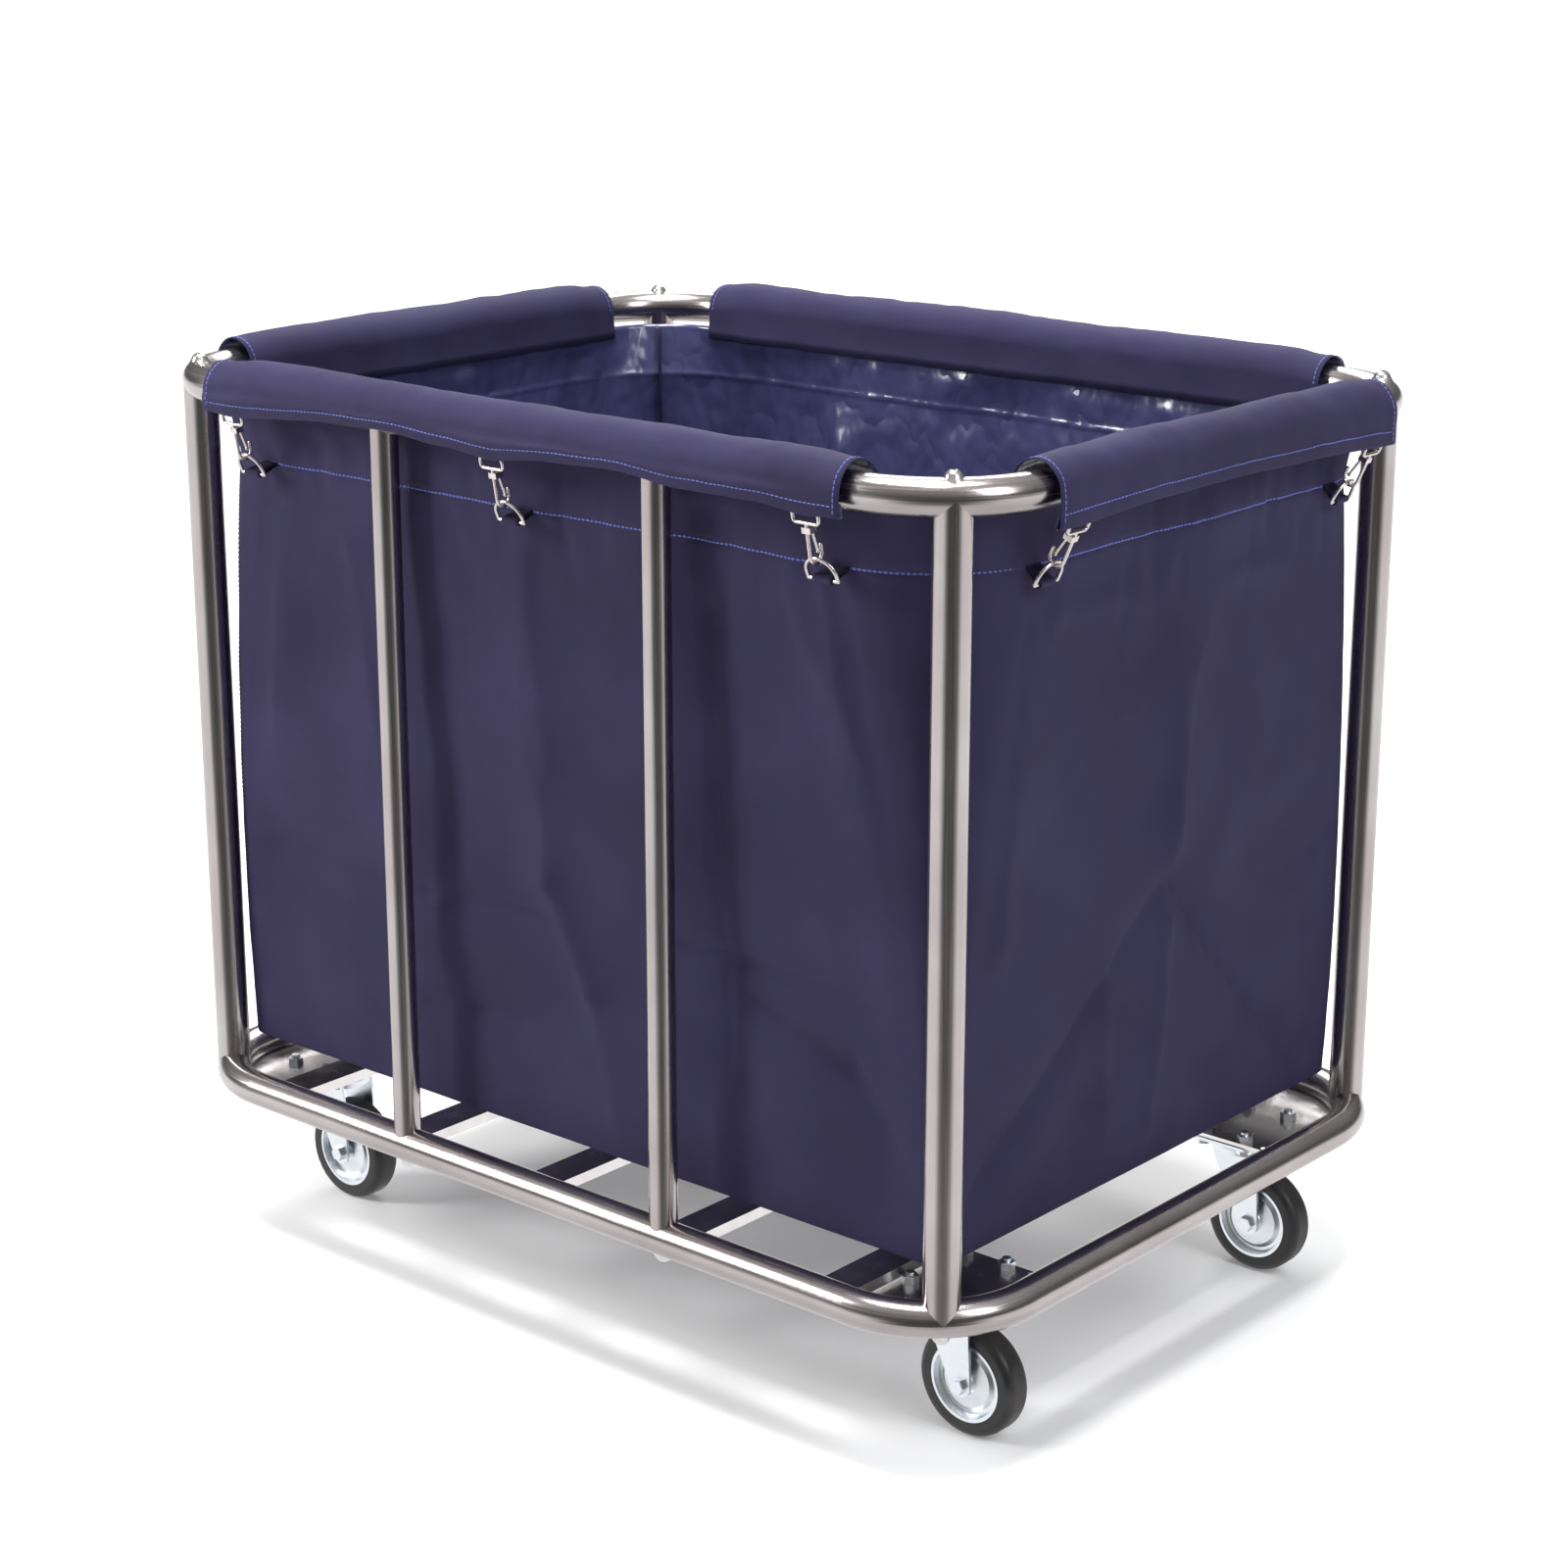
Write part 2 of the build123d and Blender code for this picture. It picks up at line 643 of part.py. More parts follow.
def hook_body():
    """The fixed part of a snap hook: loop, shank, lower bend and the gate's hinge pin."""
    bottom = BEND_R - HOOK_LENGTH
    shank = Line((0, -LOOP_H, 0), (0, bottom, 0))
    bend = ThreePointArc((0, bottom, 0), (0, bottom - BEND_R, BEND_R), (0, bottom, 2 * BEND_R))
    tip = Line((0, bottom, 2 * BEND_R), (0, bottom + TIP_RISE, 2 * BEND_R))
    body = hook_loop() + wire([shank, bend, tip], HOOK_WIRE)
    body += Pos(0, bottom + TIP_RISE, 2 * BEND_R) * Sphere(HOOK_WIRE / 2)
    reach = EAR_X + EAR_T / 2
    pin_end = reach + 0.1
    pin = cylinder_between((-pin_end, -HINGE_DOWN, HINGE_IN), (pin_end, -HINGE_DOWN, HINGE_IN), HINGE_PIN_D)
    ears = []
    for x in (-EAR_X, EAR_X):
        ear = Pos(x, -HINGE_DOWN, HINGE_IN / 2) * Box(EAR_T, EAR_H, HINGE_IN + 3.4)
        ears.append(ear)
    bridge = Pos(0, -HINGE_DOWN, -0.4) * Box(2 * reach, EAR_H, 2.4)
    return body + pin + ears[0] + ears[1] + bridge


def hook_gate():
    """The sprung wire that closes the hook, with a barrel on the hinge pin and a ball end."""
    start = (0, -HINGE_DOWN, HINGE_IN)
    end = (0, -GATE_END_DOWN, GATE_END_IN)
    barrel = cylinder_between((-BARREL_HALF, *start[1:]), (BARREL_HALF, *start[1:]), BARREL_D)
    arm = cylinder_between(start, end, GATE_WIRE)
    ball = Pos(*end) * Sphere(GATE_BALL_R)
    bore = cylinder_between((-3, *start[1:]), (3, *start[1:]), HINGE_PIN_D + 2 * RUNNING)
    return barrel + arm + ball - bore


def build_bag():
    for side in SIDES:
        save(f"bag_{side}", bag_wall(side))
        save(f"flap_{side}", flap(side))
    save("bag_floor", bag_floor())
    bodies, rings, tabs = [], [], []
    body = hook_body()
    gate = hook_gate()
    for side in SIDES:
        for t in SIDES[side][3]:
            place = side_frame(side) * hook_place(side, t)
            bodies.append(place * body)
            rings.append(d_ring(side, t))
            tabs.append(ring_tab(side, t))
            save(f"hook_gate_{len(bodies)}", place * gate)
    save("hook_bodies", group(bodies))
    save("d_rings", group(rings))
    save("ring_tabs", group(tabs))


os.makedirs("parts", exist_ok=True)
build_frame()
build_casters()
build_bag()
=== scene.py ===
"""Laundry cart: the visual model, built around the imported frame.

Metres. X runs along the cart, Y across it, Z up. The tubes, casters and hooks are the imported
nodes with finished materials. The bag, its flaps and its ring tabs are cloth, and are made here.
"""

from math import cos, exp, hypot, pi, radians, sin

import bmesh
import bpy
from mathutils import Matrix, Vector, noise


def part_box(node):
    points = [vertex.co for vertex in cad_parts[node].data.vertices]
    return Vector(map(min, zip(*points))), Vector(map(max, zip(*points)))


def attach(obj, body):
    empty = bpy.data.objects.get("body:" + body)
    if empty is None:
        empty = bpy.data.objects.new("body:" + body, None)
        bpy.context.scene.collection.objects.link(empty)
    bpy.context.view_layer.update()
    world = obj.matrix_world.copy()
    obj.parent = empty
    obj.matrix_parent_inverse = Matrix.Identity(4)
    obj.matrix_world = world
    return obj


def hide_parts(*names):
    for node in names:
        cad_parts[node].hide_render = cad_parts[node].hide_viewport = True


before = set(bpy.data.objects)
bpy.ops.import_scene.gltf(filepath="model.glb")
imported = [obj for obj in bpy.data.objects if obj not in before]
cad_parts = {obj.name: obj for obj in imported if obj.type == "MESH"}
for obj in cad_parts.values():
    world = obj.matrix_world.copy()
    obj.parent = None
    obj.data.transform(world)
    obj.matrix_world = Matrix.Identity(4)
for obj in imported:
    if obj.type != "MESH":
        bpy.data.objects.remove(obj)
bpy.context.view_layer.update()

# Camera: where it stands round the cart, and how far off.
VIEW_AZIMUTH = 40.72
VIEW_ELEVATION = 16.23
VIEW_DISTANCE = 3.0787
VIEW_TARGET = Vector((0.0036, 0.0, 0.4507))
LENS = 74.8

# Places read from the frame.
rail_low, rail_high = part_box("rail_top")
TUBE_R = (rail_high.z - rail_low.z) / 2
RAIL_Z = rail_high.z - TUBE_R
HALF_L = rail_high.x - TUBE_R
HALF_W = rail_high.y - TUBE_R
EDGE_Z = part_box("bag_front")[0].z
BAR_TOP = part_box("crossbar_3")[1].z
FLAP_HALF = {
    "front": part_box("flap_front")[1].x,
    "right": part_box("flap_right")[1].y,
    "back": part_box("flap_back")[1].x,
    "left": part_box("flap_left")[1].y,
}

# Bag walls: distance inside the rail centreline and corner radius, at three heights.
SEAM_Z = 0.762
TOP_Z = 0.813
INSET_EDGE = 0.043
INSET_SEAM = 0.0215
INSET_TOP = 0.0228
CORNER_EDGE = 0.013
CORNER_SEAM = 0.108
CORNER_TOP = 0.0765
CLOTH = 0.0013
FLAP_CLOTH = 0.001
FLOOR_SAG = EDGE_Z - BAR_TOP - 0.0025

# Flaps, measured from the rail centreline.
FLAP_R = 0.0236
FOOT_N = -0.0273
FOOT_Z = 0.801
HEM_N = 0.022
HEM_Z = {"front": 0.813, "right": 0.803, "back": 0.813, "left": 0.803}
HEM_RISE = 0.0105

# Rings and hooks along each side.
HOOKS_LONG = (-0.338, -0.006, 0.338)
HOOKS_SHORT = (-0.218, 0.218)
HOOKS = {"front": HOOKS_LONG, "right": HOOKS_SHORT, "back": HOOKS_LONG, "left": HOOKS_SHORT}

# Each side: the direction along it, its outward direction, and its rail's distance and half length.
X, Y, Z = Vector((1, 0, 0)), Vector((0, 1, 0)), Vector((0, 0, 1))
SIDES = {
    "front": (X, -Y, HALF_W, HALF_L),
    "right": (Y, X, HALF_L, HALF_W),
    "back": (-X, Y, HALF_W, HALF_L),
    "left": (-Y, -X, HALF_L, HALF_W),
}


def side_point(side, s, n, z):
    """A point of a side: s along it, n outward from its rail's centreline, z above the floor."""
    along, outward, distance, _ = SIDES[side]
    return along * s + outward * (distance + n) + Z * z


def mix(a, b, share):
    return a + (b - a) * share


def ease(value, start, end):
    """0 before start, 1 after end, and smooth between."""
    share = min(max((value - start) / (end - start), 0.0), 1.0)
    return share * share * (3 - 2 * share)


# ---------------------------------------------------------------- materials


class Shader:
    """A principled material and short ways to add the nodes that shape it."""

    def __init__(self, name, colour, metallic=0.0, roughness=0.5, **sockets):
        self.material = bpy.data.materials.new(name)
        self.material.use_nodes = True
        self.tree = self.material.node_tree
        self.base = self.tree.nodes["Principled BSDF"]
        self.set(self.base, "Base Color", (*colour, 1.0))
        self.set(self.base, "Metallic", metallic)
        self.set(self.base, "Roughness", roughness)
        for socket, value in sockets.items():
            self.set(self.base, socket.replace("_", " "), value)
        self.place = self.node("ShaderNodeTexCoord")

    def set(self, node, socket, value):
        node.inputs[socket].default_value = value

    def node(self, kind):
        return self.tree.nodes.new(kind)

    def link(self, output, socket):
        self.tree.links.new(output, socket)

    def coordinates(self, scale, source="Object"):
        mapping = self.node("ShaderNodeMapping")
        mapping.inputs["Scale"].default_value = scale
        self.link(self.place.outputs[source], mapping.inputs["Vector"])
        return mapping.outputs["Vector"]

    def noise(self, scale, detail=4.0, source="Object", roughness=0.55):
        """Noise with its own scale along each axis, per metre."""
        texture = self.node("ShaderNodeTexNoise")
        self.set(texture, "Scale", 1.0)
        self.set(texture, "Detail", detail)
        self.set(texture, "Roughness", roughness)
        self.link(self.coordinates(scale, source), texture.inputs["Vector"])
        return texture.outputs["Fac"]

    def math(self, operation, a, b=0.0):
        node = self.node("ShaderNodeMath")
        node.operation = operation
        for index, value in enumerate((a, b)):
            if isinstance(value, float):
                node.inputs[index].default_value = value
            else:
                self.link(value, node.inputs[index])
        return node.outputs[0]

    def weave(self, pitch):
        """Over-and-under threads in the cloth's own directions: 0 in the gaps, 1 on the threads."""
        parts = self.node("ShaderNodeSeparateXYZ")
        turns = 2 * pi / pitch
        self.link(self.coordinates((turns, turns, 1.0), "UV"), parts.inputs[0])
        warp = self.math("SINE", parts.outputs["X"])
        weft = self.math("SINE", parts.outputs["Y"])
        crossed = self.math("MULTIPLY", warp, weft)
        return self.math("MULTIPLY_ADD", crossed, 0.5)

    def ramp(self, value, stops):
        node = self.node("ShaderNodeValToRGB")
        elements = node.color_ramp.elements
        while len(elements) < len(stops):
            elements.new(0.5)
        for element, (position, colour) in zip(elements, stops):
            element.position = position
            element.color = (*colour, 1.0)
        self.link(value, node.inputs["Fac"])
        return node.outputs["Color"]

    def blend(self, kind, share, a, b):
        node = self.node("ShaderNodeMix")
        node.data_type = "RGBA"
        node.blend_type = kind
        node.inputs["Factor"].default_value = share
        self.link(a, node.inputs["A"])
        self.link(b, node.inputs["B"])
        return node.outputs["Result"]

    def bump(self, heights):
        """Bumps laid one on another: a list of (height, strength, distance)."""
        below = None
        for height, strength, distance in heights:
            node = self.node("ShaderNodeBump")
            self.set(node, "Strength", strength)
            self.set(node, "Distance", distance)
            self.link(height, node.inputs["Height"])
            if below is not None:
                self.link(below, node.inputs["Normal"])
            below = node.outputs["Normal"]
        self.link(below, self.base.inputs["Normal"])

    def vary(self, socket, value, low, high):
        """Lets a value between 0 and 1 move a socket between low and high."""
        node = self.node("ShaderNodeMapRange")
        self.set(node, "From Min", 0.3)
        self.set(node, "From Max", 0.7)
        self.set(node, "To Min", low)
        self.set(node, "To Max", high)
        self.link(value, node.inputs["Value"])
        self.link(node.outputs["Result"], self.base.inputs[socket])


def tube_steel(name, grain):
    """Satin stainless tube, polished along its length."""
    steel = Shader(name, (0.49, 0.44, 0.435), metallic=1.0, roughness=0.24)
    lines = steel.noise(grain, detail=3.0)
    cloud = steel.noise((9.0, 9.0, 9.0), detail=3.0)
    tone = steel.ramp(cloud, [(0.3, (0.43, 0.385, 0.38)), (0.7, (0.54, 0.505, 0.50))])
    streak = steel.ramp(lines, [(0.35, (0.86, 0.86, 0.87)), (0.65, (1.0, 1.0, 1.0))])
    steel.link(steel.blend("MULTIPLY", 0.6, tone, streak), steel.base.inputs["Base Color"])
    steel.vary("Roughness", lines, 0.17, 0.3)
    steel.bump([(lines, 0.08, 0.0002), (cloud, 0.1, 0.0006)])
    return steel.material


def plate_steel():
    """Bright rolled stainless sheet."""
    steel = Shader("sheet_steel", (0.7, 0.67, 0.66), metallic=1.0, roughness=0.2)
    lines = steel.noise((700.0, 14.0, 14.0), detail=3.0)
    cloud = steel.noise((25.0, 25.0, 25.0), detail=4.0)
    tone = steel.ramp(cloud, [(0.3, (0.62, 0.59, 0.58)), (0.7, (0.78, 0.76, 0.76))])
    steel.link(tone, steel.base.inputs["Base Color"])
    steel.vary("Roughness", cloud, 0.14, 0.3)
    steel.bump([(lines, 0.1, 0.0002)])
    return steel.material


def zinc():
    """Zinc-plated pressed steel: bluish, faintly clouded."""
    plating = Shader("zinc_plating", (0.78, 0.81, 0.84), metallic=1.0, roughness=0.33)
    cloud = plating.noise((60.0, 60.0, 60.0), detail=5.0)
    fine = plating.noise((900.0, 900.0, 900.0), detail=2.0)
    tone = plating.ramp(cloud, [(0.3, (0.66, 0.71, 0.76)), (0.7, (0.86, 0.88, 0.9))])
    plating.link(tone, plating.base.inputs["Base Color"])
    plating.vary("Roughness", cloud, 0.26, 0.44)
    plating.bump([(fine, 0.12, 0.0002)])
    return plating.material


def polished(name, colour, roughness):
    """Plated wire and turned screws, with fine scratches."""
    metal = Shader(name, colour, metallic=1.0, roughness=roughness)
    scratches = metal.noise((400.0, 400.0, 2500.0), detail=2.0)
    dark = tuple(part * 0.8 for part in colour)
    tone = metal.ramp(scratches, [(0.35, dark), (0.6, colour)])
    metal.link(tone, metal.base.inputs["Base Color"])
    metal.vary("Roughness", scratches, roughness * 0.7, roughness * 1.5)
    metal.bump([(scratches, 0.06, 0.0001)])
    return metal.material


def rubber():
    """Black tyre rubber, a little dusty on the tread."""
    tyre = Shader("tyre_rubber", (0.02, 0.018, 0.019), roughness=0.55)
    dust = tyre.noise((45.0, 45.0, 45.0), detail=6.0)
    pores = tyre.noise((1400.0, 1400.0, 1400.0), detail=2.0)
    tone = tyre.ramp(dust, [(0.4, (0.013, 0.012, 0.013)), (0.75, (0.045, 0.04, 0.04))])
    tyre.link(tone, tyre.base.inputs["Base Color"])
    tyre.vary("Roughness", dust, 0.42, 0.7)
    tyre.bump([(pores, 0.25, 0.0003), (dust, 0.2, 0.0006)])
    return tyre.material


def woven(name, dark, light, pitch=0.0011):
    """Coated polyester canvas: a fine weave, slightly uneven in tone."""
    cloth = Shader(name, light, roughness=0.8, Specular_IOR_Level=0.1, Sheen_Weight=0.02)
    threads = cloth.weave(pitch)
    cloud = cloth.noise((7.0, 7.0, 7.0), detail=5.0)
    slub = cloth.noise((260.0, 1900.0, 1.0), detail=3.0, source="UV")
    fuzz = cloth.noise((1900.0, 260.0, 1.0), detail=3.0, source="UV")
    tone = cloth.ramp(cloud, [(0.3, dark), (0.7, light)])
    yarn = cloth.ramp(threads, [(0.2, (0.72, 0.72, 0.74)), (0.8, (1.0, 1.0, 1.0))])
    crossing = cloth.math("MULTIPLY", slub, fuzz)
    uneven = cloth.ramp(crossing, [(0.12, (0.8, 0.8, 0.82)), (0.4, (1.1, 1.1, 1.1))])
    colour = cloth.blend("MULTIPLY", 0.7, tone, yarn)
    colour = cloth.blend("MULTIPLY", 0.8, colour, uneven)
    cloth.link(colour, cloth.base.inputs["Base Color"])
    cloth.vary("Roughness", slub, 0.62, 0.82)
    cloth.bump([(cloud, 0.15, 0.002), (slub, 0.2, 0.0003), (threads, 0.35, 0.0003)])
    return cloth.material


def coated():
    """The waterproof lining: shiny, and crumpled in broad facets with sharp edges."""
    film = Shader("coated_lining", (0.04, 0.042, 0.11), roughness=0.24, Coat_Weight=0.5)
    broad = film.noise((13.0, 13.0, 8.0), detail=3.0)
    ridges = film.math("ABSOLUTE", film.math("SUBTRACT", broad, 0.5))
    ripple = film.noise((45.0, 45.0, 30.0), detail=2.0)
    tone = film.ramp(broad, [(0.3, (0.028, 0.029, 0.08)), (0.7, (0.05, 0.052, 0.13))])
    film.link(tone, film.base.inputs["Base Color"])
    film.bump([(ridges, 0.7, 0.02), (ripple, 0.3, 0.002)])
    return film.material


def thread():
    """Light blue sewing thread."""
    twist = Shader("blue_thread", (0.07, 0.09, 0.31), roughness=0.6)
    plies = twist.noise((1200.0, 1200.0, 1200.0), detail=2.0)
    tone = twist.ramp(plies, [(0.3, (0.055, 0.07, 0.26)), (0.7, (0.1, 0.125, 0.4))])
    twist.link(tone, twist.base.inputs["Base Color"])
    twist.bump([(plies, 0.3, 0.0002)])
    return twist.material


# The floor glows faintly under the cart and more with distance, so that its far part stays pale.
GLOW_START = 0.8
GLOW_FULL = 3.2
GLOW_NEAR = 0.15
GLOW_FAR = 0.95


def floor_paint():
    """The studio floor."""
    paint = Shader("studio_floor", (0.9, 0.9, 0.9), roughness=0.85)
    grain = paint.noise((3.0, 3.0, 3.0), detail=2.0)
    tone = paint.ramp(grain, [(0.3, (0.89, 0.89, 0.89)), (0.7, (0.91, 0.91, 0.91))])
    paint.link(tone, paint.base.inputs["Base Color"])
    reach = paint.node("ShaderNodeVectorMath")
    reach.operation = "LENGTH"
    paint.link(paint.place.outputs["Object"], reach.inputs[0])
    glow = paint.node("ShaderNodeMapRange")
    paint.set(glow, "From Min", GLOW_START)
    paint.set(glow, "From Max", GLOW_FULL)
    paint.set(glow, "To Min", GLOW_NEAR)
    paint.set(glow, "To Max", GLOW_FAR)
    paint.link(reach.outputs["Value"], glow.inputs["Value"])
    paint.link(glow.outputs["Result"], paint.base.inputs["Emission Strength"])
    paint.set(paint.base, "Emission Color", (1.0, 1.0, 1.0, 1.0))
    return paint.material


NAVY_DARK = (0.023, 0.0192, 0.05)
NAVY_LIGHT = (0.0335, 0.0285, 0.075)
POST_STEEL = tube_steel("post_steel", (800.0, 800.0, 7.0))
RAIL_STEEL = tube_steel("rail_steel", (7.0, 7.0, 800.0))
SHEET_STEEL = plate_steel()
ZINC = zinc()
WIRE = polished("plated_wire", (0.8, 0.74, 0.72), 0.2)
SCREWS = polished("screw_steel", (0.78, 0.77, 0.76), 0.18)
RUBBER = rubber()
CANVAS = woven("navy_canvas", NAVY_DARK, NAVY_LIGHT)
BINDING = woven("binding_tape", (0.012, 0.012, 0.03), (0.02, 0.019, 0.045))
LINING = coated()
THREAD = thread()
FLOOR = floor_paint()

NODE_FINISH = {
    "rail_": RAIL_STEEL,
    "post_": POST_STEEL,
    "crossbar_": SHEET_STEEL,
    "corner_plates": SHEET_STEEL,
    "caster_": ZINC,
    "hook_": WIRE,
    "d_rings": WIRE,
    "rail_screws": SCREWS,
    "post_plugs": ZINC,
}


def finish_nodes():
    """Gives every carried-over node its material."""
    for name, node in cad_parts.items():
        finish = None
        for start in sorted(NODE_FINISH, key=len):
            if name.startswith(start):
                finish = NODE_FINISH[start]
        if name.endswith("_tyre"):
            finish = RUBBER
        if finish is None:
            continue
        node.data.materials.clear()
        node.data.materials.append(finish)


# ---------------------------------------------------------------- meshes


def mesh_object(name, points, faces, finishes, uvs=None, smooth=True):
    """A new object from points and faces, in the cart's frame. uvs holds one place per point."""
    mesh = bpy.data.meshes.new(name)
    mesh.from_pydata([tuple(point) for point in points], [], faces)
    for finish in finishes:
        mesh.materials.append(finish)
    if uvs is not None:
        layer = mesh.uv_layers.new(name="cloth")
        for loop in mesh.loops:
            layer.data[loop.index].uv = uvs[loop.vertex_index]
    for polygon in mesh.polygons:
        polygon.use_smooth = smooth
    mesh.validate()
    piece = bpy.data.objects.new(name, mesh)
    bpy.context.scene.collection.objects.link(piece)
    return piece


def thicken(piece, thickness, inner=0):
    """Gives a single sheet its thickness, on the side away from its normals."""
    solid = piece.modifiers.new("thickness", "SOLIDIFY")
    solid.thickness = thickness
    solid.offset = -1.0
    solid.material_offset = inner
    return piece


def settle(piece):
    """Applies a piece's modifiers."""
    bpy.context.view_layer.update()
    graph = bpy.context.evaluated_depsgraph_get()
    mesh = bpy.data.meshes.new_from_object(piece.evaluated_get(graph))
    piece.modifiers.clear()
    piece.data = mesh
    return piece


def cloth_piece(piece, *replaced):
    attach(piece, "cart")
    if replaced:
        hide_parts(*replaced)
    return piece


# ---------------------------------------------------------------- bag walls and floor


def wall_plan(z):
    """The wall's distance inside the rail centreline and its corner radius at a height."""
    below = min(max((z - EDGE_Z) / (SEAM_Z - EDGE_Z), 0.0), 1.0)
    above = min(max((z - SEAM_Z) / (TOP_Z - SEAM_Z), 0.0), 1.0)
    if above > 0:
        return mix(INSET_SEAM, INSET_TOP, above), mix(CORNER_SEAM, CORNER_TOP, above)
    return mix(INSET_EDGE, INSET_SEAM, below), mix(CORNER_EDGE, CORNER_SEAM, below**1.7)


def crease(s, z, line, depth, width):
    """A pressed fold: a ridge with a sharp crest along a line from one point to another."""
    (s0, z0), (s1, z1) = line
    run, rise = s1 - s0, z1 - z0
    length = hypot(run, rise)
    share = ((s - s0) * run + (z - z0) * rise) / length**2
    share = min(max(share, 0.0), 1.0)
    away = hypot(s - s0 - run * share, z - z0 - rise * share)
    return depth * exp(-away / width)


# Folds of each side: its line, how far it stands outward, and how wide it spreads. The two
# factors below sharpen them all: they were set one by one.
FOLD_STRENGTH = 2.6
FOLD_SPREAD = 0.65
# The cloth stays this far inside the rail's centreline, clear of the posts.
POST_ROOM = 0.0185
LONG_FOLDS = [
    (((-0.022, 0.735), (-0.004, 0.54)), 0.0045, 0.03),
    (((-0.004, 0.54), (-0.002, 0.43)), 0.003, 0.03),
    (((-0.002, 0.43), (0.05, 0.335)), 0.004, 0.018),
    (((0.05, 0.335), (0.075, 0.19)), 0.002, 0.03),
    (((-0.43, 0.388), (-0.165, 0.386)), -0.0016, 0.012),
    (((-0.165, 0.386), (0.0, 0.396)), -0.002, 0.012),
    (((0.149, 0.403), (0.42, 0.396)), -0.0026, 0.014),
    (((-0.17, 0.276), (-0.017, 0.296)), -0.0014, 0.01),
    (((0.306, 0.74), (0.377, 0.556)), 0.006, 0.028),
    (((0.377, 0.556), (0.40, 0.40)), 0.003, 0.03),
    (((0.227, 0.368), (0.333, 0.338)), -0.003, 0.02),
    (((0.333, 0.338), (0.405, 0.24)), -0.003, 0.03),
    (((-0.24, 0.70), (-0.20, 0.42)), 0.002, 0.035),
    (((0.19, 0.70), (0.2, 0.30)), -0.004, 0.03),
    (((-0.33, 0.72), (-0.36, 0.5)), 0.003, 0.03),
]
SHORT_FOLDS = [
    (((0.006, 0.745), (0.004, 0.451)), 0.0055, 0.03),
    (((0.004, 0.451), (0.232, 0.209)), -0.004, 0.022),
    (((0.004, 0.451), (-0.252, 0.233)), -0.003, 0.022),
    (((-0.082, 0.389), (-0.075, 0.24)), 0.0016, 0.018),
    (((0.006, 0.41), (-0.011, 0.22)), 0.0028, 0.02),
    (((-0.192, 0.719), (0.147, 0.704)), 0.0014, 0.014),
    (((0.239, 0.421), (0.29, 0.426)), -0.002, 0.014),
    (((-0.215, 0.73), (-0.24, 0.45)), 0.003, 0.03),
]
# The back and left panels can't be seen, so they repeat the folds of the front and right.
FOLDS = {"front": LONG_FOLDS, "right": SHORT_FOLDS, "back": LONG_FOLDS, "left": SHORT_FOLDS}


def crumple(point, size, seed):
    """Smooth noise about zero, of one size."""
    return noise.noise(point / size + Vector((seed, 2.7 * seed, 0.4 * seed)))


def wall_stand(side, s, z, reach):
    """How far the cloth of a side stands outward from its plain loft."""
    point = side_point(side, s, 0, z)
    inward_of_corner = ease(reach - abs(s), 0.0, 0.05)
    above_edge = ease(z, EDGE_Z, EDGE_Z + 0.05)
    stand = 0.0
    for line, depth, width in FOLDS[side]:
        stand += FOLD_STRENGTH * crease(s, z, line, depth, FOLD_SPREAD * width)
    for hook in HOOKS[side]:
        pull = exp(-(((s - hook) / 0.045) ** 2) - ((z - SEAM_Z) / 0.04) ** 2)
        stand += 0.0045 * pull
    stand += 0.006 * crumple(point, 0.16, 3.1)
    stand += 0.0022 * crumple(point, 0.055, 8.4)
    stand *= inward_of_corner * mix(0.12, 1.0, above_edge) * (1 - ease(z, 0.785, FOOT_Z))
    return min(stand, max(wall_plan(z)[0] - POST_ROOM, 0.0045))


def gather(side, s, z):
    """Small upright ripples where the walls are sewn to the flaps, fading below the seam."""
    point = side_point(side, s, 0, z)
    stretched = Vector((point.x, point.y, point.z * 0.3))
    band = ease(z, SEAM_Z - 0.13, SEAM_Z - 0.01) * (1 - ease(z, 0.785, FOOT_Z))
    return -0.004 * band * max(crumple(stretched, 0.022, 6.6) + 0.1, 0)


def columns():
    """The bag's columns, counterclockwise: a side, and a share of its straight or of its corner."""
    made = []
    for side in SIDES:
        straight = 136 if side in ("front", "back") else 96
        for index in range(straight):
            made.append((side, "straight", index / straight))
        for index in range(18):
            made.append((side, "corner", index / 18))
    return made


def wall_point(column, z):
    side, part, share = column
    inset, radius = wall_plan(z)
    reach = SIDES[side][3] - inset - radius
    if part == "straight":
        s = mix(-reach, reach, share)
        n = -inset + wall_stand(side, s, z, reach) + gather(side, s, z)
        return side_point(side, s, n, z)
    turn = share * pi / 2
    bend = 0.0012 * sin(2 * turn) * crumple(Vector((z, turn, 1.0)), 0.06, 2.2)
    round_off = radius + bend
    s = reach + round_off * sin(turn)
    n = -inset - radius + round_off * cos(turn)
    return side_point(side, s, n, z)


def wall_levels():
    """Heights of the bag's rows: close together at the lower edge and at the seam."""
    levels = [EDGE_Z + 0.0018 * step for step in range(5)]
    low, high = levels[-1], SEAM_Z - 0.012
    steps = 66
    levels += [mix(low, high, step / steps) for step in range(1, steps + 1)]
    levels += [SEAM_Z + 0.002 * step for step in range(-5, 6)]
    low = levels[-1]
    levels += [mix(low, TOP_Z, step / 10) for step in range(1, 11)]
    return levels


def seam_groove(z):
    """The stitched seam pulls the cloth in by a little."""
    return -0.0011 * exp(-(((z - SEAM_Z) / 0.0022) ** 2))


